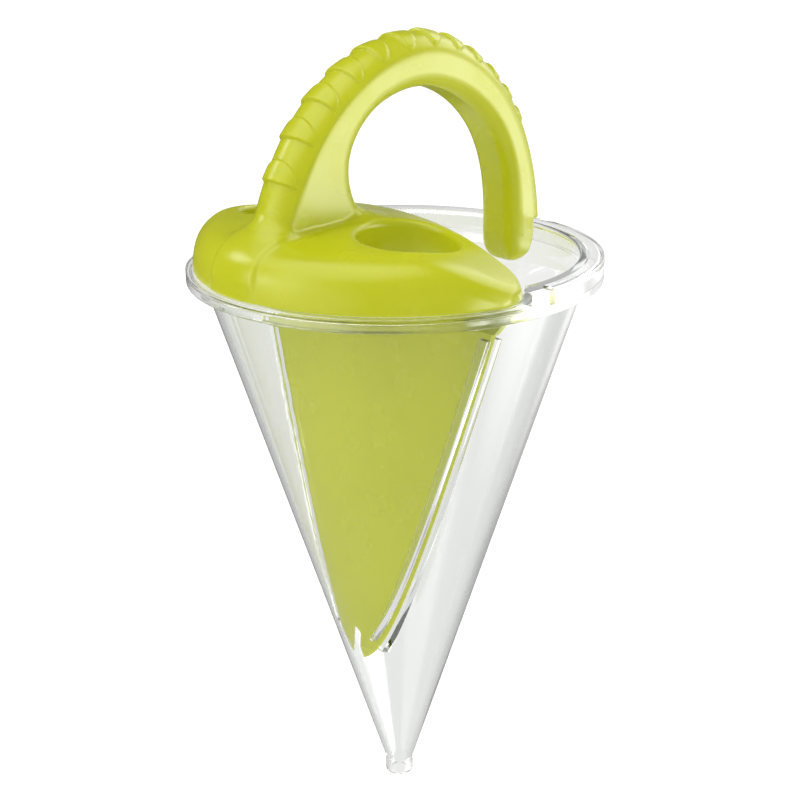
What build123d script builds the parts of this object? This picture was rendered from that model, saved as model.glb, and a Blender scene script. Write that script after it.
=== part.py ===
from build123d import *
import math
import os

# Two-chamber dribble funnel: a cone with an open mouth and an open tip, and an
# insert (half-dome cap, partition wall, hook handle) that lifts out of it.
# Millimetres, +Z up. The origin is on the cone's axis, in the plane of the
# underside of the rim band. The handle lies in the XZ plane: its foot is on the
# cap at -X, its free end comes down over the open half of the mouth at +X.

# --- funnel -----------------------------------------------------------------
rim_r = 78.0            # rim band, outer radius
ledge_h = 4.8           # height of the seat that carries the cap
lip_h = 9.2             # height of the raised lip round the open half
lip_end_x = -9.0        # no lip at smaller x than this
mouth_r = 68.6          # inner radius of the mouth collar
flange_t = 1.8          # thickness of flange and skirt
groove_x = 3.0          # the groove under the lip starts at this x
recess_gap = 1.0        # clearance from cap to lip
cone_r = 71.6           # cone, outer radius at z = 0
wall = 2.0              # cone wall thickness
spout_r = 5.8           # spout, outer radius
spout_bore_r = 3.8
spout_top = -218.6      # where the cone turns into the spout
spout_tip = -225.5

# --- cap --------------------------------------------------------------------
cap_r = 75.3            # outer radius
cap_corner_r = 15.0     # plan radius of the two corners
cap_t = 2.2             # wall thickness
cap_chord_x = 0.0       # straight side
hole_x, hole_y = -24.0, 33.5    # centre of each filler hole, at +y and -y
hole_r = 17.6
tube_z = 6.5            # bottom of the tube round each filler hole
roof_r = 158.0          # radius of the roof that slopes down to the straight side
roof_apex = 24.0        # height of the roof at x = 0
roof_tilt = 15.1        # slope of the roof, degrees

# dome profile from the axis outwards: (radius, z)
dome_profile = [
    (0, 26.5), (14, 26.3), (30, 25.7), (44, 24.8), (54, 23.8), (61, 22.8), (66, 21.6),
    (69.4, 20.0), (71.6, 18.0), (73.2, 15.4), (74.4, 12.0), (75.0, 8.5), (cap_r, 5.6),
]

# --- partition and its guide rails ------------------------------------------
plate_t = 2.0           # plate and apron thickness
plate_x0 = -14.0        # plate middle plane at z = 0
plate_lean = 0.05       # how far the plate leans to -X per mm of depth
plate_gap = 0.9         # clearance from plate edge to cone wall
plate_top = -6.0        # where the plate bends into the apron
notch_w = 6.0           # width of the water notch at the plate's foot
notch_h = 11.0          # height of the notch
apron_gap = 0.1         # apron to the inside of the cap's straight wall
apron_bend = 3.6        # where the +X face of the apron turns upright
apron_trim_z = -5.0     # middle of the disc that trims the apron
apron_trim_h = 19.2     # height of that disc
rail_gap = 0.3          # clearance between plate face and rail
rail_t = 1.6            # rail thickness
rail_h = 4.6            # how far a rail reaches over the plate's edge
rail_sink = 0.8         # how far a rail is sunk in the cone wall
rail_top = -8.0
rail_foot = -151.0

# --- handle -----------------------------------------------------------------
grip_w = 20.0           # width of the grip cover across the arch
grip_side = 0.35        # how far the body's side faces stand proud of the cover
grip_depth = 4.6        # depth of the grip cover, from its back to the seam
body_wall = 2.6         # wall of the hollow body
palm_round = 3.0        # rounding of the palm side
pad_h = 1.1             # height of a raised grip pad
ridge_half = 7.2        # half width of the ridge under the cover
ridge_start, ridge_stop = 9, 54         # index range of the ridge along the back
hollow_start, hollow_stop = 8, 76       # index range of the hollow along the palm side
tongue_r = 8.2          # rounding of the tongue across its width
tongue_z = -6.3         # level of the tongue's rounded end
tenon_x0, tenon_x1 = -50.0, -34.0
tenon_half = 6.0        # half width of the tenon
tenon_gap = 0.1         # clearance of the tenon in the cap

# arch outlines from foot to free end: (x, z)
back_points = [
    (-66.0, 10.0), (-63.4, 19.0), (-60.0, 29.0), (-56.4, 38.0), (-51.4, 47.8),
    (-45.0, 57.4), (-36.8, 66.4), (-27.0, 74.2), (-15.0, 80.8), (-2.0, 84.8),
    (11.0, 86.0), (23.0, 83.8), (34.5, 78.4), (45.0, 70.6), (53.6, 61.4),
    (60.4, 51.2), (65.4, 40.4), (68.8, 29.6), (70.8, 19.6), (71.8, 11.4),
]
seam_end = (66.8, 11.2)     # where the seam reaches the tongue
palm_points = [
    (-14.0, 10.0), (-17.0, 23.0), (-22.6, 28.6), (-26.0, 35.2), (-27.1, 42.0),
    (-25.8, 49.0), (-21.6, 56.0), (-14.6, 62.2), (-5.0, 66.4), (6.0, 68.2),
    (17.0, 66.8), (28.0, 62.4), (37.6, 55.6), (45.0, 47.2), (50.0, 37.6),
    (52.8, 28.0), (54.0, 19.0), (54.3, 9.0), (54.6, 2.0),
    # round the tongue
    (56.5, -3.2), (60.6, -6.2), (64.4, -4.6), (66.4, 0.0), (66.8, 6.0), seam_end,
]
body_foot = (-56.0, 10.0)   # corner of the body inside the cap

# places of the pads, as fractions of the back's length
pad_places = [0.166, 0.238, 0.306, 0.370, 0.430, 0.489,
              0.547, 0.603, 0.656, 0.709, 0.759, 0.806]
# pad outline, x along the arch: straight edge, tip of the bow, half width
pad_edge_x, pad_tip_x, pad_half = -3.6, 4.4, 9.4

# --- derived ----------------------------------------------------------------
slope = (cone_r - spout_r) / (0 - spout_top)        # cone: radius gained per mm of z
wall_flat = wall * math.sqrt(1 + slope ** 2)        # cone wall measured horizontally
cover_half = grip_w / 2
body_half = cover_half + grip_side


def cone_inner(z):
    return cone_r + slope * z - wall_flat


def plate_x(z):
    return plate_x0 + plate_lean * z


# --- general shapes ---------------------------------------------------------
def lathe(points):
    """Solid of revolution from a closed list of (radius, z)."""
    with BuildPart() as part:
        with BuildSketch(Plane.XZ):
            with BuildLine():
                Polyline(*points, close=True)
            make_face()
        revolve(axis=Axis.Z, revolution_arc=360)
    return part.part


def prism_xz(points, half):
    """Prism of a closed list of (x, z), reaching half to each side of the XZ plane."""
    with BuildPart() as part:
        with BuildSketch(Plane.XZ):
            with BuildLine():
                Polyline(*points, close=True)
            make_face()
        extrude(amount=half, both=True)
    return part.part


def curved_prism_xz(half, *edges):
    """Like prism_xz, for an outline of (Spline or Polyline, points) pairs."""
    with BuildSketch(Plane.XZ) as outline:
        with BuildLine():
            for curve, points in edges:
                curve(*points)
        make_face()
    return extrude(outline.sketch, amount=half, both=True)


def strip_xz(half, outer, inner):
    """Prism between two splines that run the same way, closed by straight ends."""
    return curved_prism_xz(
        half,
        (Spline, outer), (Polyline, [outer[-1], inner[-1]]),
        (Spline, inner), (Polyline, [inner[0], outer[0]]),
    )


def box(x0, x1, y0, y1, z0, z1):
    middle = Pos((x0 + x1) / 2, (y0 + y1) / 2, (z0 + z1) / 2)
    return middle * Box(x1 - x0, y1 - y0, z1 - z0)


def resample(points, count):
    """Points at even spacing on a smooth curve through the given ones."""
    curve = Spline(*points)
    spots = [curve @ (i / (count - 1)) for i in range(count)]
    return [(spot.X, spot.Y) for spot in spots]


def shift(points, distance):
    """Shift an open list of points to the right-hand side of its travel."""
    shifted = []
    for i, (x, z) in enumerate(points):
        before = points[max(i - 1, 0)]
        after = points[min(i + 1, len(points) - 1)]
        dx, dz = after[0] - before[0], after[1] - before[1]
        length = math.hypot(dx, dz)
        shifted.append((x + dz / length * distance, z - dx / length * distance))
    return shifted


def round_long_edges(shape, half, near, radius):
    """Fillet the edges on both side faces that run along the given points."""
    picked = []
    for edge in shape.edges():
        middle = edge @ 0.5
        on_side = abs(abs(middle.Y) - half) < 1e-3
        along_side = abs((edge @ 0).Y - (edge @ 1).Y) < 1e-6
        if on_side and along_side and edge.length > 9:
            if min(math.hypot(middle.X - x, middle.Z - z) for x, z in near) < 2.1:
                picked.append(edge)
    return fillet(picked, radius)


# --- shapes shared by several pieces ----------------------------------------
def cap_plan(radius, chord_x, corner, z0, z1):
    """Upright prism: half disc on the -X side with two rounded corners."""
    corner_x = chord_x - corner
    corner_y = math.sqrt((radius - corner) ** 2 - corner_x ** 2)
    meet = math.atan2(corner_y, corner_x)       # where a corner meets the big arc
    meet_x, meet_y = radius * math.cos(meet), radius * math.sin(meet)
    mid_x = corner_x + corner * math.cos(meet / 2)
    mid_y = corner_y + corner * math.sin(meet / 2)
    with BuildPart() as part:
        with BuildSketch(Plane.XY.offset(z0)):
            with BuildLine():
                Line((chord_x, -corner_y), (chord_x, corner_y))
                ThreePointArc((chord_x, corner_y), (mid_x, mid_y), (meet_x, meet_y))
                ThreePointArc((meet_x, meet_y), (-radius, 0), (meet_x, -meet_y))
                ThreePointArc((meet_x, -meet_y), (mid_x, -mid_y), (chord_x, -corner_y))
            make_face()
        extrude(amount=z1 - z0)
    return part.part


def dome_solid(inset):
    """Dome lowered by inset and drawn in by as much at its edge."""
    floor_z = -5
    points = [(r - inset * (r / cap_r) ** 2, z - inset) for r, z in dome_profile]
    edge_r = points[-1][0]
    with BuildPart() as part:
        with BuildSketch(Plane.XZ):
            with BuildLine():
                Spline(*points, tangents=[(1, 0), (0.08, -1)])
                Line(points[-1], (edge_r, floor_z))
                Line((edge_r, floor_z), (0, floor_z))
                Line((0, floor_z), points[0])
            make_face()
        revolve(axis=Axis.Z, revolution_arc=360)
    return part.part


def roof_solid(inset):
    """Big cylinder along X, tilted down towards the straight side of the cap."""
    axis_z = roof_apex - roof_r / math.cos(math.radians(roof_tilt))
    return Pos(0, 0, axis_z) * Rot(0, 90 + roof_tilt, 0) * Cylinder(roof_r - inset, 400)


def cap_shell(inset, z0):
    """Solid of the cap's outer form, drawn in by inset."""
    plan = cap_plan(cap_r - inset, cap_chord_x - inset, cap_corner_r - inset, z0, 40)
    return plan & dome_solid(inset) & roof_solid(inset)


def under_cap_top():
    """The space below the cap's upper surface, cut from whatever stands on it."""
    return dome_solid(0) & roof_solid(0) & box(-200, 0, -200, 200, -10, 60)


def lean_slab(thickness, z0, z1):
    """Slab on the partition plate's middle plane."""
    half = thickness / 2
    return prism_xz([(plate_x(z0) - half, z0), (plate_x(z0) + half, z0),
                     (plate_x(z1) + half, z1), (plate_x(z1) - half, z1)], 100)


# --- funnel -----------------------------------------------------------------
def make_rails():
    """Guide rails for the partition, one pair down each side of the cone."""
    zone = lathe([
        (0, rail_top), (cone_inner(rail_top) + rail_sink, rail_top),
        (cone_inner(rail_foot) + rail_sink, rail_foot), (0, rail_foot),
    ])
    # (y, z) of the rails' free edge at +Y
    free_edge = []
    for i in range(41):
        z = rail_foot - 1 + (rail_top - rail_foot + 2) * i / 40
        free_edge.append((math.sqrt(cone_inner(z) ** 2 - plate_x(z) ** 2) - rail_h, z))
    between = prism_xz(free_edge + [(-y, z) for y, z in reversed(free_edge)], 100)

    slot = plate_t + 2 * rail_gap
    rails = lean_slab(slot + 2 * rail_t, rail_top + 1, rail_foot - 1) & zone
    rails = rails - lean_slab(slot, rail_top + 2, rail_foot - 2)
    return rails - Rot(0, 0, 90) * between


def make_funnel():
    collar_foot = (mouth_r + wall_flat - cone_r) / slope    # collar bore meets cone
    bore_top = (spout_bore_r + wall_flat - cone_r) / slope  # spout bore meets cone
    flange_z = ledge_h - flange_t
    skirt_r = rim_r - flange_t
    low = lathe([
        (spout_bore_r, spout_tip), (spout_r, spout_tip), (spout_r, spout_top), (cone_r, 0),
        (cone_r, flange_z), (skirt_r, flange_z), (skirt_r, 0),
        (rim_r, 0), (rim_r, ledge_h), (mouth_r, ledge_h),
        (mouth_r, collar_foot), (spout_bore_r, bore_top),
    ])
    lip = lathe([(mouth_r, ledge_h), (rim_r, ledge_h), (rim_r, lip_h), (mouth_r, lip_h)])
    recess = box(-200, lip_end_x, -200, 200, ledge_h - 1, lip_h + 5)
    recess += cap_plan(cap_r + recess_gap, cap_chord_x + recess_gap,
                       cap_corner_r + recess_gap, ledge_h, lip_h + 5)
    lip = lip - recess
    # the lip is hollow from below
    groove = lathe([(cone_r, flange_z - 0.1), (skirt_r, flange_z - 0.1),
                    (skirt_r, lip_h - flange_t), (cone_r, lip_h - flange_t)])
    groove = groove & box(groove_x, 200, -200, 200, -1, lip_h + 1)
    return (low + lip) - groove + make_rails()


# --- cap --------------------------------------------------------------------
def make_cap():
    outer = cap_shell(0, ledge_h)
    inner = cap_shell(cap_t, ledge_h - 1)
    bores = []
    for side in (1, -1):
        tube = Pos(hole_x, side * hole_y, 20) * Cylinder(hole_r + cap_t, 40)
        inner = inner - (tube & box(-80, 20, -80, 80, tube_z, 60))
        bores.append(Pos(hole_x, side * hole_y, 20) * Cylinder(hole_r, 60))
    cap = outer - inner - (bores[0] + bores[1])
    slot_half = tenon_half + tenon_gap
    return cap - box(tenon_x0 - tenon_gap, tenon_x1 + tenon_gap, -slot_half, slot_half, 0, 40)


# --- handle -----------------------------------------------------------------
back = resample(back_points, 60)
palm = resample(palm_points, 90)
seam = shift(back, grip_depth)[:-1] + [seam_end]


def make_pads():
    """Raised pads: D shapes across the back, straight edge towards the foot."""
    pad_back = shift(back, -pad_h)
    half = cover_half + pad_h * 0.55
    envelope = strip_xz(half, pad_back, seam)
    envelope = round_long_edges(envelope, half, pad_back, grip_depth)
    spine = Spline(*back)
    pads = []
    for place in pad_places:
        spot, along = spine @ place, spine % place
        tangent_plane = Plane(origin=(spot.X, 0, spot.Y), x_dir=(along.X, 0, along.Y),
                              z_dir=(-along.Y, 0, along.X))
        with BuildPart() as pad:
            with BuildSketch(tangent_plane.offset(-grip_depth + 1.6)):
                with BuildLine():
                    Line((pad_edge_x, -pad_half), (pad_edge_x, pad_half))
                    ThreePointArc((pad_edge_x, pad_half), (pad_tip_x, 0),
                                  (pad_edge_x, -pad_half))
                make_face()
            extrude(amount=grip_depth + 2)
        pads.append(pad.part & envelope)
    return pads


def make_cover():
    """Rounded strip along the back of the arch."""
    cover = strip_xz(cover_half, back, seam)
    cover = round_long_edges(cover, cover_half, back, grip_depth - 0.5)
    # a low ridge locates the cover in the hollow body
    ridge_outer = shift(back, grip_depth - 0.6)[ridge_start:ridge_stop]
    ridge_inner = shift(back, grip_depth + 1.4)[ridge_start:ridge_stop]
    cover = cover + strip_xz(ridge_half, ridge_outer, ridge_inner)
    for pad in make_pads():
        cover = cover + pad
    return cover - under_cap_top()


def tongue_cut():
    """What is cut away to round the tongue across its width."""
    flat_half = body_half - tongue_r
    centre_z = tongue_z + tongue_r
    cut = box(45, 95, -20, 20, tongue_z - 5, centre_z)
    cut = cut - box(40, 100, -flat_half, flat_half, tongue_z, tongue_z + 30)
    for side in (1, -1):
        cut = cut - Pos(70, side * flat_half, centre_z) * Rot(0, 90, 0) * Cylinder(tongue_r, 60)
    return cut


def make_body():
    """Hollow body between the seam and the palm side, ending in the tongue."""
    body = curved_prism_xz(
        body_half,
        (Spline, seam), (Spline, list(reversed(palm_points))),
        (Polyline, [palm_points[0], body_foot, seam[0]]),
    )
    body = round_long_edges(body, body_half, palm, palm_round)
    hollow_palm = shift(palm, -body_wall)[hollow_start:hollow_stop]
    hollow_back = shift(back, grip_depth - 1.0)[ridge_start - 1:ridge_stop + 1]
    body = body - curved_prism_xz(
        cover_half - body_wall,
        (Spline, hollow_back), (Polyline, [hollow_back[-1], hollow_palm[-1]]),
        (Spline, list(reversed(hollow_palm))), (Polyline, [hollow_palm[0], hollow_back[0]]),
    )
    body = body - tongue_cut()
    # the body stands on the cap, with a tenon through it
    tenon = box(tenon_x0, tenon_x1, -tenon_half, tenon_half, 14.0, 26.0)
    return (body - under_cap_top()) + tenon


# --- partition --------------------------------------------------------------
def make_plate():
    """Leaning flat wall with a round-topped notch at its foot."""
    low_z = -170        # below the plate's foot
    zone = lathe([
        (0, plate_top + 0.5), (cone_inner(plate_top) - plate_gap, plate_top + 0.5),
        (cone_inner(low_z) - plate_gap, low_z), (0, low_z),
    ])
    plate = lean_slab(plate_t, plate_top, low_z + 2) & zone
    foot_z = (-plate_x0 - cone_inner(0) + plate_gap) / (slope + plate_lean)
    notch_r = notch_w / 2
    arch_z = foot_z + notch_h - notch_r
    plate = plate - box(-60, 0, -notch_r, notch_r, low_z, arch_z)
    return plate - Pos(-20, 0, arch_z) * Rot(0, 90, 0) * Cylinder(notch_r, 60)


def make_apron():
    """Bent strip from the plate's top to the straight side of the cap."""
    bend_x = plate_x(plate_top)
    near_x = -cap_t - apron_gap
    far_x = near_x - plate_t
    apron = prism_xz([
        (bend_x - plate_t / 2, plate_top), (bend_x + plate_t / 2, plate_top),
        (near_x, apron_bend), (near_x, 11.0), (far_x, 11.0), (far_x, apron_bend + 1.0),
    ], 100)
    # the disc trims the ends to the mouth and cuts the top off
    apron = apron & (Pos(0, 0, apron_trim_z) * Cylinder(mouth_r - plate_gap, apron_trim_h))
    return apron & cap_plan(cap_r - cap_t - 0.2, -cap_t - 0.05, cap_corner_r - cap_t, -20, 40)


pieces = {
    "funnel": make_funnel(),
    "chamber_cap": make_cap(),
    "partition_wall": make_plate() + make_apron(),
    "handle_body": make_body(),
    "grip_cover": make_cover(),
}

os.makedirs("parts", exist_ok=True)
for name, shape in pieces.items():
    export_step(shape, f"parts/{name}.step")
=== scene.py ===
# A clear funnel with a lime insert. The funnel's axis is Z, with z = 0 at the underside of its
# rim and the spout at the bottom. The insert is a half-disc cap over the -X side of the mouth
# and a handle that arches in the XZ plane from the cap to the +X side. Everything is
# symmetrical about y = 0. Shapes are in millimetres, lights and camera in metres.
import math
from itertools import combinations, product

import bmesh
import bpy
import numpy as np
from mathutils import Matrix, Vector


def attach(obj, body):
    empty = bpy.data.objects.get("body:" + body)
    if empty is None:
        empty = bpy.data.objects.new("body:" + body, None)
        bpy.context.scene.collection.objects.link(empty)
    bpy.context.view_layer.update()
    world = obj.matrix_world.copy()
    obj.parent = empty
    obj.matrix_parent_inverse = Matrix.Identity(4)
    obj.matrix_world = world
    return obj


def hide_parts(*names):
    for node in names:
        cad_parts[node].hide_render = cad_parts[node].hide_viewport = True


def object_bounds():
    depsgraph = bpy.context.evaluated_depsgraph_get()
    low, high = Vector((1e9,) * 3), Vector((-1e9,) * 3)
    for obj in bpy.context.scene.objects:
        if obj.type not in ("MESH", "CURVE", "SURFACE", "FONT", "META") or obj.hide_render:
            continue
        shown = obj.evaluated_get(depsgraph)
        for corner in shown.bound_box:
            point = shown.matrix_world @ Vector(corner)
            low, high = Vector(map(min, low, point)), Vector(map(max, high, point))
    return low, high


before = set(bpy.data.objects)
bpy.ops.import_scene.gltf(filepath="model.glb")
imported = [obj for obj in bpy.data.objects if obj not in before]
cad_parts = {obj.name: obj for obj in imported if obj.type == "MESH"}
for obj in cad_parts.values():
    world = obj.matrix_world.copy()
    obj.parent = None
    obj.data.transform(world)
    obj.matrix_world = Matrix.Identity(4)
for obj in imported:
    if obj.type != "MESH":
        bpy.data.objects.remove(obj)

cad_lo, cad_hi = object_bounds()

# ---------------------------------------------------------------------------
# Sizes shared by the insert and the funnel
# ---------------------------------------------------------------------------
RIM_R = 78.0
LEDGE_H = 4.8                    # height of the seat under the cap
CAP_R, CORNER_R = 75.3, 15.0     # half disc, and its two rounded corners
CORNER_Y = math.sqrt((CAP_R - CORNER_R) ** 2 - CORNER_R ** 2)    # corner centres at x = -CORNER_R

# ---------------------------------------------------------------------------
# Insert: sizes
# ---------------------------------------------------------------------------
CAP_WALL = 2.2
HOLE_X, HOLE_Y, HOLE_R = -24.0, 33.5, 17.6     # two round holes, at +y and -y
HANDLE_HALF_W = 10.35
BACK_ROUND = 11.8                # cross radius of the handle's outer face
SEAM_DEPTH = 5.2                 # the grip cover reaches this far below the back line
FOOT_Z, FOOT_ROUND = -6.1, 8.4   # lowest point of the +X end, and its edge rounding
HANDLE_ONLY_X = 20.0             # beyond this x there is no cap

# Outer line of the handle, (x, z), from the cap over the top to the rim
BACK = [(-66.0, 10.0), (-63.4, 19.0), (-60.0, 29.0), (-56.4, 38.0), (-51.4, 47.8), (-45.0, 57.4),
        (-36.8, 66.4), (-27.0, 74.2), (-15.0, 80.8), (-2.0, 84.8), (11.0, 86.0), (23.0, 83.8),
        (34.5, 78.4), (45.0, 70.6), (53.6, 61.4), (60.4, 51.2), (65.4, 40.4), (68.8, 29.6),
        (70.8, 19.6), (71.8, 11.4)]
# Inner line of the handle, (x, z), the same way, round the tongue at the +X end
PALM = [(-14.0, 10.0), (-17.0, 23.0), (-22.6, 28.6), (-26.0, 35.2), (-27.1, 42.0), (-25.8, 49.0),
        (-21.6, 56.0), (-14.6, 62.2), (-5.0, 66.4), (6.0, 68.2), (17.0, 66.8), (28.0, 62.4),
        (37.6, 55.6), (45.0, 47.2), (50.0, 37.6), (52.8, 28.0), (54.0, 19.0), (54.3, 9.0),
        (54.6, 2.0), (56.5, -3.2), (60.6, -6.2), (64.4, -4.6), (66.4, 0.0), (66.8, 6.0),
        (66.8, 11.2)]
TONGUE_TIP = (60.6, -6.2)
# Domed top of the cap, (radius, z), from the axis to the edge
DOME = [(0, 26.5), (14, 26.3), (30, 25.7), (44, 24.8), (54, 23.8), (61, 22.8), (66, 21.6),
        (69.4, 20.0), (71.6, 18.0), (73.2, 15.4), (74.4, 12.0), (75.0, 8.5), (75.3, 5.6)]
# Tilted cylinder that slopes the cap down to its straight side
ROOF_R, ROOF_TILT = 158.0, math.radians(15.1)
ROOF_AXIS_Z = 24.9 - ROOF_R / math.cos(ROOF_TILT)
# Grip pads: places along the back as shares of its length, and their half-moon shape
PADS = [0.166, 0.238, 0.306, 0.370, 0.430, 0.489, 0.547, 0.603, 0.656, 0.709, 0.759, 0.806]
PAD_LEN, PAD_HALF_W, PAD_BACKSET, PAD_RISE = 8.0, 9.7, 3.6, 1.25

TABLE_STEP = 0.4
CELL = 0.5    # grid of the insert's surface
BLOCK = 8                            # cells along one side of a coarse block
PROBE = 0.12                         # half step of the slope measurements


# ---------------------------------------------------------------------------
# Lines and lookup tables
# ---------------------------------------------------------------------------
def lengths(vectors):
    return np.sqrt((vectors ** 2).sum(1))


def unit(vector):
    return vector / np.hypot(*vector)


def spline(points, count, ends=None):
    """Points on a C2 cubic through the given ones; ends are its end slopes, free if None."""
    knots = np.array(points, float)
    place = np.r_[0, np.cumsum(lengths(np.diff(knots, axis=0)))]
    gap = np.diff(place)
    chord = np.diff(knots, axis=0) / gap[:, None]
    last = len(knots) - 1
    matrix = np.zeros((last + 1, last + 1))
    right = np.zeros((last + 1, 2))
    for i in range(1, last):
        matrix[i, i - 1:i + 2] = gap[i - 1], 2 * (gap[i - 1] + gap[i]), gap[i]
        right[i] = 6 * (chord[i] - chord[i - 1])
    if ends is None:
        matrix[0, 0] = matrix[-1, -1] = 1
    else:
        matrix[0, :2] = 2 * gap[0], gap[0]
        matrix[-1, -2:] = gap[-1], 2 * gap[-1]
        right[0] = 6 * (chord[0] - np.array(ends[0]))
        right[-1] = 6 * (np.array(ends[1]) - chord[-1])
    bend = np.linalg.solve(matrix, right)
    query = np.linspace(0, place[-1], count)
    i = np.clip(np.searchsorted(place, query, side="right") - 1, 0, last - 1)
    along = (query - place[i])[:, None]
    span = gap[i][:, None]
    return (knots[i] + along * (chord[i] - span * (2 * bend[i] + bend[i + 1]) / 6)
            + along ** 2 * bend[i] / 2 + along ** 3 * (bend[i + 1] - bend[i]) / (6 * span))


def beside(line, grid_u, grid_v):
    """Signed distance from a line (positive on its right) and arc length there, on a grid."""
    start = line[:-1]
    edge = np.diff(line, axis=0)
    size = lengths(edge)
    heading = edge / size[:, None]
    arc_start = np.r_[0, np.cumsum(size)[:-1]]
    mesh_u, mesh_v = np.meshgrid(grid_u, grid_v, indexing="ij")
    query = np.stack([mesh_u.ravel(), mesh_v.ravel()], 1)
    distance, arc = np.empty(len(query)), np.empty(len(query))
    batch = 20000
    for first in range(0, len(query), batch):
        part = slice(first, first + batch)
        offset = query[part, None, :] - start[None]
        along = np.clip((offset * heading[None]).sum(2), 0, size[None])
        away = offset - along[:, :, None] * heading[None]
        squared = (away ** 2).sum(2)
        nearest = squared.argmin(1)
        row = np.arange(len(nearest))
        out, way = away[row, nearest], heading[nearest]
        side = way[:, 1] * out[:, 0] - way[:, 0] * out[:, 1]
        distance[part] = np.sqrt(squared[row, nearest]) * np.where(side >= 0, 1, -1)
        arc[part] = arc_start[nearest] + along[row, nearest]
    return distance.reshape(mesh_u.shape), arc.reshape(mesh_u.shape)


class Table:
    """Values on an even grid, read with bilinear interpolation."""

    def __init__(self, grid_u, grid_v, values):
        self.start_u, self.start_v = grid_u[0], grid_v[0]
        self.pitch, self.values = grid_u[1] - grid_u[0], values

    def __call__(self, across, up):
        values = self.values
        place_u = np.clip((across - self.start_u) / self.pitch, 0, values.shape[0] - 1.001)
        place_v = np.clip((up - self.start_v) / self.pitch, 0, values.shape[1] - 1.001)
        i, j = place_u.astype(int), place_v.astype(int)
        part_u, part_v = place_u - i, place_v - j
        return ((values[i, j] * (1 - part_u) + values[i + 1, j] * part_u) * (1 - part_v)
                + (values[i, j + 1] * (1 - part_u) + values[i + 1, j + 1] * part_u) * part_v)


grid_x = np.arange(-84, 86.1, TABLE_STEP)
grid_z = np.arange(-14, 94.1, TABLE_STEP)

# The back line runs on straight at both ends; arc length counts from its own start
START_TAIL, END_TAIL = 14.0, 20.0
back = spline(BACK, 320)
BACK_LEN = lengths(np.diff(back, axis=0)).sum()
back_line = np.vstack([back[0] + unit(back[0] - back[1]) * START_TAIL, back,
                       back[-1] + unit(back[-1] - back[-2]) * END_TAIL])
below, arc_length = beside(back_line, grid_x, grid_z)
back_depth = Table(grid_x, grid_z, below)
back_arc = Table(grid_x, grid_z, arc_length - START_TAIL)

palm_line = np.vstack([(-9.0, -6.0), spline(PALM, 420), (71.8, 11.3), (96.0, 11.3)])
below, arc_length = beside(palm_line, grid_x, grid_z)
palm_height = Table(grid_x, grid_z, -below)
palm_arc = Table(grid_x, grid_z, arc_length)
TONGUE_ARC = beside(palm_line, np.array(TONGUE_TIP[:1]), np.array(TONGUE_TIP[1:]))[1][0, 0]

grid_r = np.arange(0, 100.1, TABLE_STEP)
dome_z = np.arange(-14, 60.1, TABLE_STEP)
dome_line = np.vstack([(-60, 26.5), spline(DOME, 260, ends=((1, 0), (0.08, -0.99))),
                       (CAP_R, -40)])
dome_height = Table(grid_r, dome_z, -beside(dome_line, grid_r, dome_z)[0])


# ---------------------------------------------------------------------------
# Insert: distance-like fields, negative inside
# ---------------------------------------------------------------------------
def smooth_min(first, second, blend):
    overlap = np.maximum(blend - np.abs(first - second), 0) / blend
    return np.minimum(first, second) - overlap * overlap * blend * 0.25


def smooth_max(first, second, blend):
    return -smooth_min(-first, -second, blend)


def ease(value, low, high):
    part = np.clip((value - low) / (high - low), 0, 1)
    return part * part * (3 - 2 * part)


def round_edge(first, second, radius):
    """Outside of two faces that meet in a rounded edge; both are measured from its centre."""
    return (np.hypot(np.maximum(first, 0), np.maximum(second, 0))
            + np.minimum(np.maximum(first, second), 0) - radius)


def cap_plan(x, y):
    """Distance to the plan outline of the cap: a half disc with two rounded corners."""
    from_x, from_y = x + CORNER_R, np.abs(y) - CORNER_Y
    in_corner = (from_y >= 0) & (from_x * -CORNER_Y + from_y * -CORNER_R <= 0)
    disc = np.hypot(x, y) - (CAP_R - CORNER_R)
    return np.where(in_corner, np.hypot(from_x, from_y), np.maximum(disc, from_x)) - CORNER_R


def pad_height(arc, side, depth):
    """How far the grip pads raise the back: half moons, each falling off along the line."""
    height = np.zeros_like(arc)
    near = (depth < 4.2) & (side < 11.5)
    if not near.any():
        return height
    arc, side = arc[near], side[near]
    best = np.zeros_like(arc)
    for share in PADS:
        along = arc - share * BACK_LEN + PAD_BACKSET        # from the straight edge
        span = PAD_LEN * np.sqrt(np.maximum(1 - (side / PAD_HALF_W) ** 2, 0))
        rise = ease(along, -0.35, 0.45)
        fall = 1 - ease(along - span, -0.75, 0.15)
        tilt = 1.0 - 0.50 * np.clip(along / PAD_LEN, 0, 1)
        edge = 1 - ease(side, 8.6, 9.6)
        best = np.maximum(best, rise * fall * tilt * edge)
    height[near] = best * PAD_RISE
    return height


def handle(x, y, z):
    """Field of the handle, and the depth below its back line."""
    side = np.abs(y)
    depth, height, inner_arc = back_depth(x, z), palm_height(x, z), palm_arc(x, z)
    outer_arc = back_arc(x, z)
    # the inner edges get sharper past the tongue
    palm_round = (6.0 - 2.5 * ease(inner_arc, TONGUE_ARC + 3.0, TONGUE_ARC + 9.0)
                  - 1.5 * ease(inner_arc, TONGUE_ARC + 9.0, TONGUE_ARC + 14.0))
    palm = round_edge(side - (HANDLE_HALF_W - palm_round), palm_round - height, palm_round)
    # the back stands off its line, more so towards the +X end
    stand_off = 0.9 + 1.1 * ease(outer_arc, 0.52 * BACK_LEN, 0.78 * BACK_LEN)
    sunk = depth + stand_off + pad_height(outer_arc, side, depth)
    outer = np.hypot(side, np.maximum(BACK_ROUND - sunk, 0)) - BACK_ROUND
    foot = round_edge(side - (HANDLE_HALF_W - FOOT_ROUND), FOOT_Z + FOOT_ROUND - z, FOOT_ROUND)
    foot = np.where((x > 40) & (z < 6), foot, -9.0)
    return smooth_max(smooth_max(palm, outer, 1.0), foot, 1.6), depth


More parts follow.
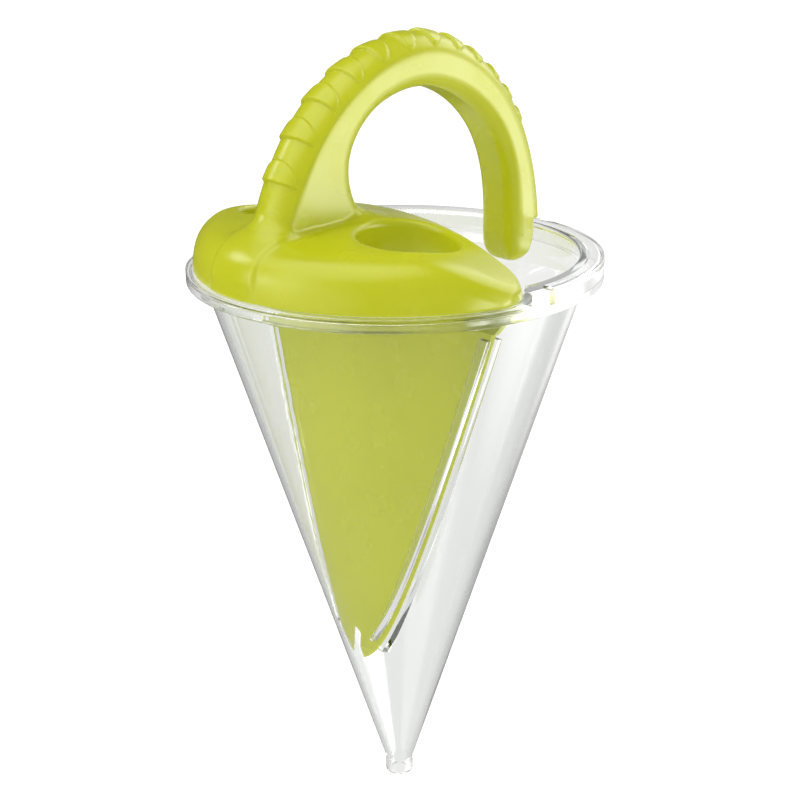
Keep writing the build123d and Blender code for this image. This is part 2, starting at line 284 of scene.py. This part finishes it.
def roof(x, y, z):
    up = x * math.sin(ROOF_TILT) + (z - ROOF_AXIS_Z) * math.cos(ROOF_TILT)
    return np.hypot(up, y) - ROOF_R


def insert_fields(x, y, z):
    """Field of the whole skin, a field above zero on the cap, and depth below the back line."""
    arch, depth = handle(x, y, z)
    dome = smooth_max(dome_height(np.hypot(x, y), z), roof(x, y, z), 5.0)
    plan = cap_plan(x, y)
    cap = smooth_max(dome, plan, 0.3 + 2.6 * ease(x, -17.0, -8.0))
    # the back of the arch runs on down the side of the cap as a low ridge
    raised = 0.9 * ease(-x, 46.0, 60.0) * ease(z, 6.5, 12.0)
    ridge_side = np.abs(y) - 10.6 - 0.10 * np.maximum(24.0 - z, 0)
    ridge = smooth_max(ridge_side, dome - raised, 1.6)
    cap = smooth_min(cap, np.where(x < -44, ridge, 9.0), 1.8)
    # width of the fillet where the handle grows out of the cap
    fillet = 1.8 + 7.0 * ease(x, -34.0, -18.0) + 9.0 * ease(-x, 52.0, 64.0)
    skin_field = smooth_min(cap, arch, fillet)
    # hollow under the cap, less a tube of wall around each hole
    hollow = smooth_max(dome + CAP_WALL, plan + CAP_WALL, 2.0)
    from_hole = np.hypot(x - HOLE_X, np.abs(y) - HOLE_Y)
    tube = smooth_max(from_hole - (HOLE_R + CAP_WALL), 6.5 - z, 1.0)
    hollow = smooth_max(hollow, -tube, 1.0)
    skin_field = smooth_max(skin_field, -hollow, 0.8)
    skin_field = smooth_max(skin_field, HOLE_R - from_hole, 2.6)
    skin_field = smooth_max(skin_field, LEDGE_H + 0.05 - z, 0.7)    # flat foot on the ledge
    skin_field = np.where(x < HANDLE_ONLY_X, skin_field, arch)
    on_cap = np.maximum(arch - cap, -(dome + 1.0))
    return skin_field, np.where(x < HANDLE_ONLY_X, on_cap, -9.0), depth


def skin(points):
    return insert_fields(*points.T)[0]


def cap_line(points):
    """Both columns are zero on the part line around the cap."""
    skin_field, on_cap, _ = insert_fields(*points.T)
    return np.stack([skin_field, on_cap], 1)


def cover_line(points):
    """Both columns are zero on the part line between handle body and grip cover."""
    skin_field, _, depth = insert_fields(*points.T)
    return np.stack([skin_field, depth - SEAM_DEPTH], 1)


def gradient(field, points):
    return np.stack([(field(points + probe) - field(points - probe)) / (2 * PROBE)
                     for probe in PROBE * np.eye(3)], -1)


# ---------------------------------------------------------------------------
# Insert: surface
# ---------------------------------------------------------------------------
def lattice(counts):
    axes = [np.arange(count) for count in counts]
    return np.stack(np.meshgrid(*axes, indexing="ij"), -1).reshape(-1, 3)


def polygonise(field, low, high, cell):
    """Surface nets of field = 0 on an even grid: points, quads and the cell of each point."""
    size = [math.ceil((high[i] - low[i]) / cell / BLOCK) * BLOCK + 1 for i in range(3)]
    # sign only, block by block; blocks that may meet the surface are then measured in full
    counts = [(count - 1) // BLOCK for count in size]
    blocks = lattice(counts)
    centre = field(low + (blocks + 0.5) * BLOCK * cell)
    coarse = np.where(centre.reshape(counts) < 0, -9, 9)
    for axis in range(3):
        coarse = coarse.repeat(BLOCK, axis)
    value = np.empty(size, np.float32)
    value[:-1, :-1, :-1] = coarse
    value[-1], value[:, -1], value[:, :, -1] = 9, 9, 9
    near = blocks[np.abs(centre) < 0.87 * BLOCK * cell + 2.4]
    nodes = lattice([BLOCK + 1] * 3)
    batch = 1500
    for first in range(0, len(near), batch):
        grid = (near[first:first + batch, None, :] * BLOCK + nodes[None]).reshape(-1, 3)
        value[tuple(grid.T)] = field(low + grid * cell)

    inside = value < 0
    count = np.zeros([k - 1 for k in size], np.uint8)
    corners = list(product((0, 1), repeat=3))
    for i, j, k in corners:
        count += inside[i:size[0] - 1 + i, j:size[1] - 1 + j, k:size[2] - 1 + k]
    crossed = (count > 0) & (count < 8)
    cells = np.argwhere(crossed)
    index = np.full(crossed.shape, -1, np.int32)
    index[crossed] = np.arange(len(cells))

    # each point is the mean of the crossings on its cell's twelve edges
    total, number = np.zeros((len(cells), 3)), np.zeros(len(cells))
    at_corner = {corner: value[tuple((cells + corner).T)].astype(float) for corner in corners}
    for start, end in combinations(corners, 2):
        way = np.array(end) - np.array(start)
        if np.abs(way).sum() != 1:
            continue
        value_0, value_1 = at_corner[start], at_corner[end]
        cut = (value_0 < 0) != (value_1 < 0)
        share = np.where(cut, value_0 / np.where(cut, value_0 - value_1, 1), 0)
        total += np.where(cut[:, None], np.array(start) + share[:, None] * way, 0)
        number += cut
    points = low + (cells + total / number[:, None]) * cell

    # one quad around each grid edge that crosses the surface
    quads = []
    steps = np.eye(3, dtype=int)
    for axis in range(3):
        u, w = (axis + 1) % 3, (axis + 2) % 3
        edge = np.argwhere(np.diff(inside, axis=axis))
        edge = edge[(edge[:, u] > 0) & (edge[:, w] > 0)
                    & (edge[:, u] < size[u] - 1) & (edge[:, w] < size[w] - 1)]
        around = (edge, edge - steps[u], edge - steps[u] - steps[w], edge - steps[w])
        quad = np.stack([index[tuple(cell_at.T)] for cell_at in around], 1)
        flip = ~inside[tuple(edge.T)]
        quad[flip] = quad[flip][:, ::-1]
        quads.append(quad)
    return points, np.vstack(quads), cells


def limited(move, longest):
    return move * np.minimum(1, longest / np.maximum(lengths(move), 1e-9))[:, None]


def settle(points):
    """Bring every point onto the skin in small steps."""
    for _ in range(6):
        slope = gradient(skin, points)
        pull = skin(points) / np.maximum((slope ** 2).sum(1), 0.15)
        points = points - limited(slope * pull[:, None], 0.25)
    return points


def snap_to_line(points, picked, line):
    """Move the picked points onto a part line, unless it is too far away."""
    target = points[picked].copy()
    for _ in range(5):
        miss = line(target)
        slope = gradient(line, target)
        turned = slope.transpose(0, 2, 1)
        normal = slope @ turned + np.eye(2) * 1e-3
        target -= limited((turned @ np.linalg.solve(normal, miss[:, :, None]))[:, :, 0], 0.3)
    close = lengths(target - points[picked]) < 1.1 * CELL
    moved = points.copy()
    moved[np.where(picked)[0][close]] = target[close]
    return moved


def edges_of(quads):
    return np.vstack([quads[:, [k, (k + 1) % 4]] for k in range(4)])


def closing(quads, points, mirror):
    """Ruled faces across a piece, from +y to -y, that close it behind its part lines."""
    edges = edges_of(quads)
    ends = np.sort(edges, 1)
    code = ends[:, 0].astype(np.int64) * len(points) + ends[:, 1]
    _, first, count = np.unique(code, return_index=True, return_counts=True)
    faces = []
    for start, end in edges[first[count == 1]].tolist():
        if points[start, 1] + points[end, 1] <= 0:
            continue
        far_start, far_end = int(mirror[start]), int(mirror[end])
        if far_start < 0 or far_end < 0:
            continue
        face = [end, start]
        for far in (far_start, far_end):
            if far not in face:
                face.append(far)
        if len(face) > 2:
            faces.append(face + [-1] * (4 - len(face)))
    return np.array(faces, int).reshape(-1, 4)


def add_mesh(name, points, faces, per_metre=1000.0):
    mesh = bpy.data.meshes.new(name)
    mesh.from_pydata((np.array(points) / per_metre).tolist(), [], faces)
    made = bpy.data.objects.new(name, mesh)
    bpy.context.scene.collection.objects.link(made)
    return made


def smooth_all(mesh):
    mesh.polygons.foreach_set("use_smooth", [True] * len(mesh.polygons))


def insert_piece(name, points, faces, normals):
    """One piece of the insert; an index of -1 marks the missing corner of a triangle."""
    used = np.unique(faces[faces >= 0])
    remap = np.full(len(points), -1)
    remap[used] = np.arange(len(used))
    made = add_mesh(name, points[used], [tuple(remap[i] for i in f if i >= 0) for f in faces])
    made.data.validate()
    smooth_all(made.data)
    made.data.normals_split_custom_set_from_vertices(normals[used].tolist())
    made.data.update()
    return made


def build_insert():
    """Polygonise the skin, cut it along the part lines and make the three pieces."""
    half_cells = math.ceil(79.0 / (CELL * BLOCK)) * BLOCK
    edge_y = (half_cells + 0.5) * CELL
    points, quads, cells = polygonise(skin, np.array([-80.0, -edge_y, -8.4]),
                                      np.array([76.5, edge_y, 89.5]), CELL)
    points = settle(points)

    middle = points[quads].mean(1)
    _, on_cap, depth = insert_fields(*middle.T)
    label = np.where(on_cap > 0, 0, np.where(depth > SEAM_DEPTH, 1, 2))    # cap, body, cover

    # quads on the -y side take the label of their twins, found through mirrored cells
    at_cell = {tuple(cell): i for i, cell in enumerate(cells.tolist())}
    mirror = np.array([at_cell.get((i, 2 * half_cells - j, k), -1)
                       for i, j, k in cells.tolist()])
    at_quad = {tuple(quad): i for i, quad in enumerate(np.sort(quads, 1).tolist())}
    twin = np.array([at_quad.get(tuple(quad), -1)
                     for quad in np.sort(mirror[quads], 1).tolist()])
    copied = np.where((middle[:, 1] < 0) & (twin >= 0))[0]
    label[copied] = label[twin[copied]]

    touches = np.zeros((len(points), 3), bool)
    for k in range(4):
        touches[quads[:, k], label] = True
    cap, body, cover = touches.T
    points = snap_to_line(points, body & cover & ~cap, cover_line)
    points = snap_to_line(points, cap & (body | cover), cap_line)
    normals = gradient(skin, points)
    normals /= np.maximum(lengths(normals), 1e-9)[:, None]

    pieces = []
    for i, (name, part) in enumerate((("cap_shell", "chamber_cap"),
                                      ("handle_shell", "handle_body"),
                                      ("grip_strip", "grip_cover"))):
        own = quads[label == i]
        faces = np.vstack([own, closing(own, points, mirror)])
        piece = insert_piece(name, points, faces, normals)
        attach(piece, "insert")
        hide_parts(part)
        pieces.append(piece)
    return pieces


# ---------------------------------------------------------------------------
# Funnel: a lathed section, with the seat for the cap and a hollow under the
# rim cut in, and rails for the partition wall added.
# ---------------------------------------------------------------------------
SEGMENTS = 240
MOUTH_R, CONE_R, SPOUT_R, BORE_R = 68.6, 71.6, 5.8, 3.8
SPOUT_TOP, SPOUT_END = -218.6, -225.5
RIM_TOP = 9.2
GROOVE_R, GROOVE_TOP = 76.2, 3.0     # open groove between the cone and the rim's skirt
SLOPE = (CONE_R - SPOUT_R) / -SPOUT_TOP
WALL_ACROSS = 2.0 * math.sqrt(1 + SLOPE ** 2)    # the 2 mm cone wall, measured level
SEAT_GAP = 1.0                       # between the cap and the edge of its seat
SEAT_END_X, SEAT_FAR = -9.0, 120.0   # the seat stops here; the cutter runs well clear
# Hollow under the rim, (radius, z), around the +X side only
HOLLOW = [(71.75, 2.0), (76.05, 2.0), (76.05, 6.9), (75.55, 7.4), (72.25, 7.4), (71.75, 6.9)]
HOLLOW_HALF_ANGLE = math.acos(3.0 / 74)
RAIL_TOP, RAIL_FOOT, RAIL_H = -8.0, -151.0, 4.6
RAIL_PLANE_X, RAIL_LEAN = -14.0, 0.05    # middle of the slot at z = 0, and its lean in x per z
RAIL_NEAR, RAIL_FAR = 1.3, 2.9           # faces of a rail, from the middle of the slot
RAIL_BITE = 0.7                          # how far a rail sinks into the cone wall


def cone_inside_r(z):
    return CONE_R + SLOPE * z - WALL_ACROSS


def cone_inside_z(radius):
    return (radius + WALL_ACROSS - CONE_R) / SLOPE


# Closed section of the funnel: radius, z, rounding of the corner
SECTION = [(BORE_R, SPOUT_END, 0.5), (SPOUT_R, SPOUT_END, 0.6), (SPOUT_R, SPOUT_TOP, 1.2),
           (CONE_R, 0, 0.8), (CONE_R, GROOVE_TOP, 0.5), (GROOVE_R, GROOVE_TOP, 0.5),
           (GROOVE_R, 0, 0.5), (RIM_R, 0, 0.7), (RIM_R, RIM_TOP, 1.1), (MOUTH_R, RIM_TOP, 1.1),
           (MOUTH_R, cone_inside_z(MOUTH_R), 2.0), (BORE_R, cone_inside_z(BORE_R), 1.5)]


def rounded(section, steps=4):
    """The closed outline with each corner turned into an arc."""
    outline = []
    for i, (*corner, radius) in enumerate(section):
        corner = np.array(corner, float)
        before = np.array(section[i - 1][:2], float) - corner
        after = np.array(section[(i + 1) % len(section)][:2], float) - corner
        to_before, to_after = unit(before), unit(after)
        half = math.acos(float(to_before @ to_after)) / 2
        reach = min(radius / math.tan(half), np.hypot(*before) * 0.45, np.hypot(*after) * 0.45)
        radius = reach * math.tan(half)
        centre = corner + unit(to_before + to_after) * (radius / math.sin(half))
        first = corner + to_before * reach - centre
        last = corner + to_after * reach - centre
        angle = math.atan2(first[1], first[0])
        turn = math.atan2(last[1], last[0]) - angle
        turn = (turn + math.pi) % (2 * math.pi) - math.pi
        for k in range(steps + 1):
            at = angle + turn * k / steps
            outline.append((centre[0] + radius * math.cos(at), centre[1] + radius * math.sin(at)))
    return outline


def lathe(name, section, segments, start=0.0, end=2 * math.pi):
    """Turn a closed section about Z; less than a full turn gets end faces."""
    full = abs(end - start - 2 * math.pi) < 1e-6
    rings = segments if full else segments + 1
    angles = [start + (end - start) * i / segments for i in range(rings)]
    points = [(r * math.cos(a), r * math.sin(a), z) for a in angles for r, z in section]
    size = len(section)
    faces = []
    for i in range(segments):
        ring, following = i * size, (i + 1) % rings * size
        for k in range(size):
            j = (k + 1) % size
            faces.append((ring + k, following + k, following + j, ring + j))
    if not full:
        faces.append(tuple(range(size)))
        faces.append(tuple(reversed(range((rings - 1) * size, rings * size))))
    made = add_mesh(name, points, faces)
    made.data.validate()
    return made


def prism(name, outline, bottom, top):
    size = len(outline)
    points = [(x, y, z) for z in (bottom, top) for x, y in outline]
    faces = [tuple(reversed(range(size))), tuple(range(size, 2 * size))]
    faces += [(i, (i + 1) % size, size + (i + 1) % size, size + i) for i in range(size)]
    return add_mesh(name, points, faces)


def face_outward(target):
    work = bmesh.new()
    work.from_mesh(target.data)
    bmesh.ops.recalc_face_normals(work, faces=work.faces)
    work.to_mesh(target.data)
    work.free()


def boolean(target, tool, operation):
    """Apply a boolean to the target and throw the tool away."""
    face_outward(tool)
    modifier = target.modifiers.new("cut", "BOOLEAN")
    modifier.operation, modifier.object, modifier.solver = operation, tool, "EXACT"
    bpy.context.view_layer.update()
    graph = bpy.context.evaluated_depsgraph_get()
    result = bpy.data.meshes.new_from_object(target.evaluated_get(graph))
    target.modifiers.clear()
    target.data = result
    bpy.data.objects.remove(tool)


def seat_cutter():
    """Prism over the -X side, ending in the cap's two rounded corners."""
    radius = CORNER_R + SEAT_GAP
    sweep = math.acos((SEAT_END_X + CORNER_R) / radius)
    corner = [(-CORNER_R + radius * math.cos(angle), CORNER_Y + radius * math.sin(angle))
              for angle in np.linspace(0, sweep, 12)]
    outline = corner + [(SEAT_END_X, SEAT_FAR), (-SEAT_FAR, SEAT_FAR), (-SEAT_FAR, -SEAT_FAR),
                        (SEAT_END_X, -SEAT_FAR)] + [(x, -y) for x, y in reversed(corner)]
    return prism("recess", outline, LEDGE_H, 40.0)


def rail(side, offsets):
    """Rib down the cone on the +y or -y side; it stops where the cone gets too narrow."""
    points = []
    for z in np.linspace(RAIL_TOP, RAIL_FOOT, 80):
        radius = cone_inside_r(z)
        middle = RAIL_PLANE_X + RAIL_LEAN * z
        inner = math.sqrt(radius ** 2 - middle ** 2) - RAIL_H
        x_0, x_1 = (middle + offset for offset in offsets)
        outer_0, outer_1 = (math.sqrt((radius + RAIL_BITE) ** 2 - x * x) for x in (x_0, x_1))
        if min(outer_0, outer_1) < inner + 0.5:
            break
        points += [(x_0, side * outer_0, z), (x_1, side * outer_1, z),
                   (x_1, side * inner, z), (x_0, side * inner, z)]
    faces = [(i + k, i + (k + 1) % 4, i + 4 + (k + 1) % 4, i + 4 + k)
             for i in range(0, len(points) - 4, 4) for k in range(4)]
    faces += [(0, 1, 2, 3), tuple(len(points) - 4 + k for k in (3, 2, 1, 0))]
    return add_mesh("rail", points, faces)


def build_funnel():
    shell = lathe("funnel_shell", rounded(SECTION), SEGMENTS)
    face_outward(shell)
    boolean(shell, seat_cutter(), "DIFFERENCE")
    boolean(shell, lathe("hollow", HOLLOW, 120, -HOLLOW_HALF_ANGLE, HOLLOW_HALF_ANGLE),
            "DIFFERENCE")
    for side in (1, -1):
        for offsets in ((RAIL_NEAR, RAIL_FAR), (-RAIL_FAR, -RAIL_NEAR)):
            boolean(shell, rail(side, offsets), "UNION")
    smooth_all(shell.data)
    shell.data.set_sharp_from_angle(angle=math.radians(32))
    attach(shell, "funnel")
    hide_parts("funnel")
    return shell


insert_pieces = build_insert()
funnel = build_funnel()


# ---------------------------------------------------------------------------
# Shader helpers
# ---------------------------------------------------------------------------
def add_node(tree, kind, inputs, **settings):
    """Add a shader node; each input takes a value or the socket that feeds it."""
    made = tree.nodes.new("ShaderNode" + kind)
    for name, value in settings.items():
        setattr(made, name, value)
    for key, value in inputs.items():
        if isinstance(value, bpy.types.NodeSocket):
            tree.links.new(value, made.inputs[key])
        else:
            made.inputs[key].default_value = value
    return made


def calculate(tree, operation, first, second):
    return add_node(tree, "Math", {0: first, 1: second}, operation=operation).outputs[0]


def noise(tree, vector, scale, detail):
    inputs = {"Vector": vector, "Scale": scale, "Detail": detail}
    return add_node(tree, "TexNoise", inputs).outputs["Fac"]


def color_ramp(tree, factor, stops):
    made = add_node(tree, "ValToRGB", {0: factor})
    elements = made.color_ramp.elements
    while len(elements) < len(stops):
        elements.new(0.5)
    for i, (position, color) in enumerate(stops):
        elements[i].position = position
        elements[i].color = color
    return made.outputs[0]


def bump(tree, height, strength, distance, **normal):
    inputs = {"Height": height, "Strength": strength, "Distance": distance, **normal}
    return add_node(tree, "Bump", inputs).outputs[0]


def mix_shaders(tree, factor, first, second):
    return add_node(tree, "MixShader", {0: factor, 1: first, 2: second}).outputs[0]


def transparent(tree, color):
    return add_node(tree, "BsdfTransparent", {"Color": color}).outputs[0]


def grey(value):
    return (value, value, value, 1)


def new_material(name):
    material = bpy.data.materials.new(name)
    material.use_nodes = True
    material.node_tree.nodes.clear()
    return material, material.node_tree


# ---------------------------------------------------------------------------
# Materials
# ---------------------------------------------------------------------------
def lime_material(name, tint=1.0):
    """Glossy lime plastic, slightly translucent; tint scales red and green."""
    material, tree = new_material(name)
    place = add_node(tree, "TexCoord", {}).outputs["Object"]
    cloud = noise(tree, place, scale=14, detail=3)
    color = color_ramp(tree, cloud, [(0.35, (0.455 * tint, 0.484 * tint, 0.008, 1)),
                                     (0.68, (0.510 * tint, 0.532 * tint, 0.013, 1))])
    grain = noise(tree, place, scale=1600, detail=2)
    swirl = noise(tree, place, scale=60, detail=2)
    rough = add_node(tree, "MapRange", {"Value": swirl, "From Min": 0.3, "From Max": 0.7,
                                        "To Min": 0.20, "To Max": 0.30})
    fine = bump(tree, grain, strength=0.10, distance=0.00004)
    normal = bump(tree, swirl, strength=0.08, distance=0.0004, Normal=fine)
    plastic = add_node(tree, "BsdfPrincipled", {
        "Base Color": color, "Roughness": rough.outputs[0], "Normal": normal, "IOR": 1.5,
        "Subsurface Weight": 0.25, "Subsurface Radius": (1.0, 1.0, 0.12),
        "Subsurface Scale": 0.0022})
    add_node(tree, "OutputMaterial", {0: plastic.outputs[0]})
    return material


def clear_material(name):
    """Clear plastic that lets shadow and diffuse rays straight through."""
    material, tree = new_material(name)
    place = add_node(tree, "TexCoord", {}).outputs["Object"]
    cloud = noise(tree, place, scale=22, detail=3)
    color = color_ramp(tree, cloud, [(0.0, (0.960, 0.970, 0.955, 1)),
                                     (1.0, (0.985, 0.990, 0.980, 1))])
    rough = add_node(tree, "MapRange", {"Value": cloud, "To Min": 0.0, "To Max": 0.02})
    normal = bump(tree, cloud, strength=0.05, distance=0.0008)
    plastic = add_node(tree, "BsdfPrincipled", {
        "Base Color": color, "Roughness": rough.outputs[0], "Normal": normal,
        "Transmission Weight": 1.0, "IOR": 1.49})
    straight = transparent(tree, (0.93, 0.94, 0.92, 1))
    path = add_node(tree, "LightPath", {}).outputs
    passes = calculate(tree, "MAXIMUM", path["Is Shadow Ray"], path["Is Diffuse Ray"])
    shader = mix_shaders(tree, passes, plastic.outputs[0], straight)
    # light trapped in the wall for many bounces leaves it, dimmed
    deep = calculate(tree, "GREATER_THAN", path["Ray Depth"], 9.5)
    leaving = transparent(tree, (0.62, 0.63, 0.61, 1))
    add_node(tree, "OutputMaterial", {0: mix_shaders(tree, deep, shader, leaving)})
    return material


def floor_material():
    """Faintly glowing white, unseen in reflections."""
    material, tree = new_material("floor_look")
    matt = add_node(tree, "BsdfDiffuse", {"Color": grey(0.80)})
    glow = add_node(tree, "Emission", {"Color": grey(1), "Strength": 0.42})
    both = add_node(tree, "AddShader", {0: matt.outputs[0], 1: glow.outputs[0]})
    unseen = tree.nodes.new("ShaderNodeBsdfTransparent").outputs[0]
    path = add_node(tree, "LightPath", {}).outputs
    shader = mix_shaders(tree, path["Is Glossy Ray"], both.outputs[0], unseen)
    add_node(tree, "OutputMaterial", {0: shader})
    return material


lime = lime_material("lime_plastic_look")
lime_wall = lime_material("lime_plastic_wall_look", tint=1.02)
clear = clear_material("clear_plastic_look")
for piece, look in [(piece, lime) for piece in insert_pieces] + [(funnel, clear)]:
    piece.data.materials.clear()
    piece.data.materials.append(look)
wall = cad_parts["partition_wall"]
if not wall.material_slots:
    wall.data.materials.append(lime_wall)
for material_slot in wall.material_slots:
    material_slot.material = lime_wall

# ---------------------------------------------------------------------------
# Floor
# ---------------------------------------------------------------------------
FLOOR_HALF, FLOOR_GAP = 30, 0.0005
floor = add_mesh("floor", [(x * FLOOR_HALF, y * FLOOR_HALF, cad_lo.z - FLOOR_GAP)
                           for x, y in ((-1, -1), (1, -1), (1, 1), (-1, 1))],
                 [(0, 1, 2, 3)], per_metre=1.0)
floor.data.materials.append(floor_material())

# ---------------------------------------------------------------------------
# World: white to the camera, soft round lights in the reflections
# ---------------------------------------------------------------------------
AMBIENT = 0.86           # seen by diffuse rays
REFLECTION_BASE = 0.07   # reflections away from the round lights
INSIDE_LIFT = 0.72       # added to reflections seen through or inside the clear wall
# Round lights: direction, full within (degrees), gone beyond (degrees), strength
ROUND_LIGHTS = [
    ((0.617, -0.773, -0.14), 8, 20, 5.0),
    ((0.72, -0.68, -0.16), 18, 40, 2.6),
    ((0.83, -0.04, 0.52), 15, 30, 2.8),
    ((-1.0, 0.05, 0.05), 15, 40, 1.0),
    ((-0.45, 0.74, 0.50), 4, 11, 5.0),
    ((0.14, -0.97, -0.16), 3, 11, 7.0),
    ((-0.845, 0.49, 0.225), 3, 9, 3.0),
    ((-0.88, 0.32, 0.28), 10, 26, 1.3),
    ((-0.38, 0.10, 0.92), 18, 42, 2.2),
    ((0.93, 0.36, 0.0), 12, 36, 0.6),
]
# Brightness seen through the clear wall: upward part of the ray's direction, grey
THROUGH_STOPS = [(0.0, 0.90), (0.30, 0.88), (0.42, 0.60), (0.54, 0.80), (1.0, 0.90)]


def round_light(tree, direction, centre, inner, outer, strength):
    inputs = {0: direction, 1: Vector(centre).normalized()}
    dot = add_node(tree, "VectorMath", inputs, operation="DOT_PRODUCT")
    return add_node(tree, "MapRange", {
        "Value": dot.outputs["Value"],
        "From Min": math.cos(math.radians(outer)), "From Max": math.cos(math.radians(inner)),
        "To Min": 0.0, "To Max": strength}, interpolation_type="SMOOTHSTEP").outputs[0]


def mix_colors(tree, factor, first, second):
    return add_node(tree, "Mix", {0: factor, 6: first, 7: second}, data_type="RGBA").outputs[2]


def build_world():
    world = bpy.data.worlds.new("studio")
    bpy.context.scene.world = world
    world.use_nodes = True
    tree = world.node_tree
    tree.nodes.clear()
    direction = add_node(tree, "TexCoord", {}).outputs["Generated"]
    upward = add_node(tree, "SeparateXYZ", {0: direction}).outputs[2]
    path = add_node(tree, "LightPath", {}).outputs

    reflected = REFLECTION_BASE
    for light in [round_light(tree, direction, *row) for row in ROUND_LIGHTS]:
        reflected = calculate(tree, "ADD", reflected, light)
    plain = color_ramp(tree, upward, [(place, grey(value)) for place, value in THROUGH_STOPS])
    lifted = calculate(tree, "ADD", reflected, INSIDE_LIFT)
    bounced = calculate(tree, "GREATER_THAN", path["Glossy Depth"], 0.5)
    through = mix_colors(tree, bounced, plain, lifted)
    behind = calculate(tree, "GREATER_THAN", path["Transmission Depth"], 0.5)
    mirrored = mix_colors(tree, behind, reflected, lifted)

    color = mix_colors(tree, path["Is Glossy Ray"], grey(AMBIENT), mirrored)
    color = mix_colors(tree, path["Is Transmission Ray"], color, through)
    color = mix_colors(tree, path["Is Camera Ray"], color, grey(1.0))
    background = add_node(tree, "Background", {"Color": color, "Strength": 1.0})
    add_node(tree, "OutputWorld", {0: background.outputs[0]})


build_world()


# ---------------------------------------------------------------------------
# Lights, camera and render settings
# ---------------------------------------------------------------------------
def softbox(name, location, target, size, radiance):
    """Rectangular light aimed at a target, unseen in reflections."""
    data = bpy.data.lights.new(name, "AREA")
    data.shape = "RECTANGLE"
    data.size, data.size_y = size
    data.energy = radiance * math.pi * size[0] * size[1]
    lamp = bpy.data.objects.new(name, data)
    lamp.location = location
    lamp.rotation_mode = "QUATERNION"
    aim = Vector(target) - Vector(location)
    lamp.rotation_quaternion = aim.to_track_quat("-Z", "Y")
    lamp.visible_glossy = False
    bpy.context.scene.collection.objects.link(lamp)


softbox("softbox_right", location=(0.95, -1.05, 0.42), target=(0, 0, 0.02),
        size=(0.9, 0.9), radiance=1.0)
softbox("softbox_left", location=(-1.15, 0.35, 0.65), target=(0, 0, 0.02),
        size=(0.6, 0.9), radiance=2.2)
softbox("softbox_top", location=(-0.1, 0.1, 1.3), target=(0, 0, 0),
        size=(0.8, 0.8), radiance=2.5)

CAMERA_PLACE = (-0.3044, -0.3414, 0.1227)
# Columns are the camera's right, up and backward directions
CAMERA_TURN = Matrix(((0.7423807, 0.24384245, -0.62402865),
                      (-0.66994155, 0.2604259, -0.69523857),
                      (-0.00701545, 0.93419442, 0.35669535)))
scene = bpy.context.scene
camera_data = bpy.data.cameras.new("camera")
camera = bpy.data.objects.new("camera", camera_data)
scene.collection.objects.link(camera)
camera_data.sensor_width = 36.0
camera_data.lens = 56.0808
camera_data.clip_start, camera_data.clip_end = 0.01, 20
camera.matrix_world = Matrix.Translation(CAMERA_PLACE) @ CAMERA_TURN.to_4x4()
scene.camera = camera
scene.view_settings.view_transform = "Standard"
# many bounces, for the light inside the clear wall
scene.cycles.transmission_bounces = 24
scene.cycles.max_bounces = 28
scene.cycles.glossy_bounces = 24
scene.cycles.transparent_max_bounces = 16
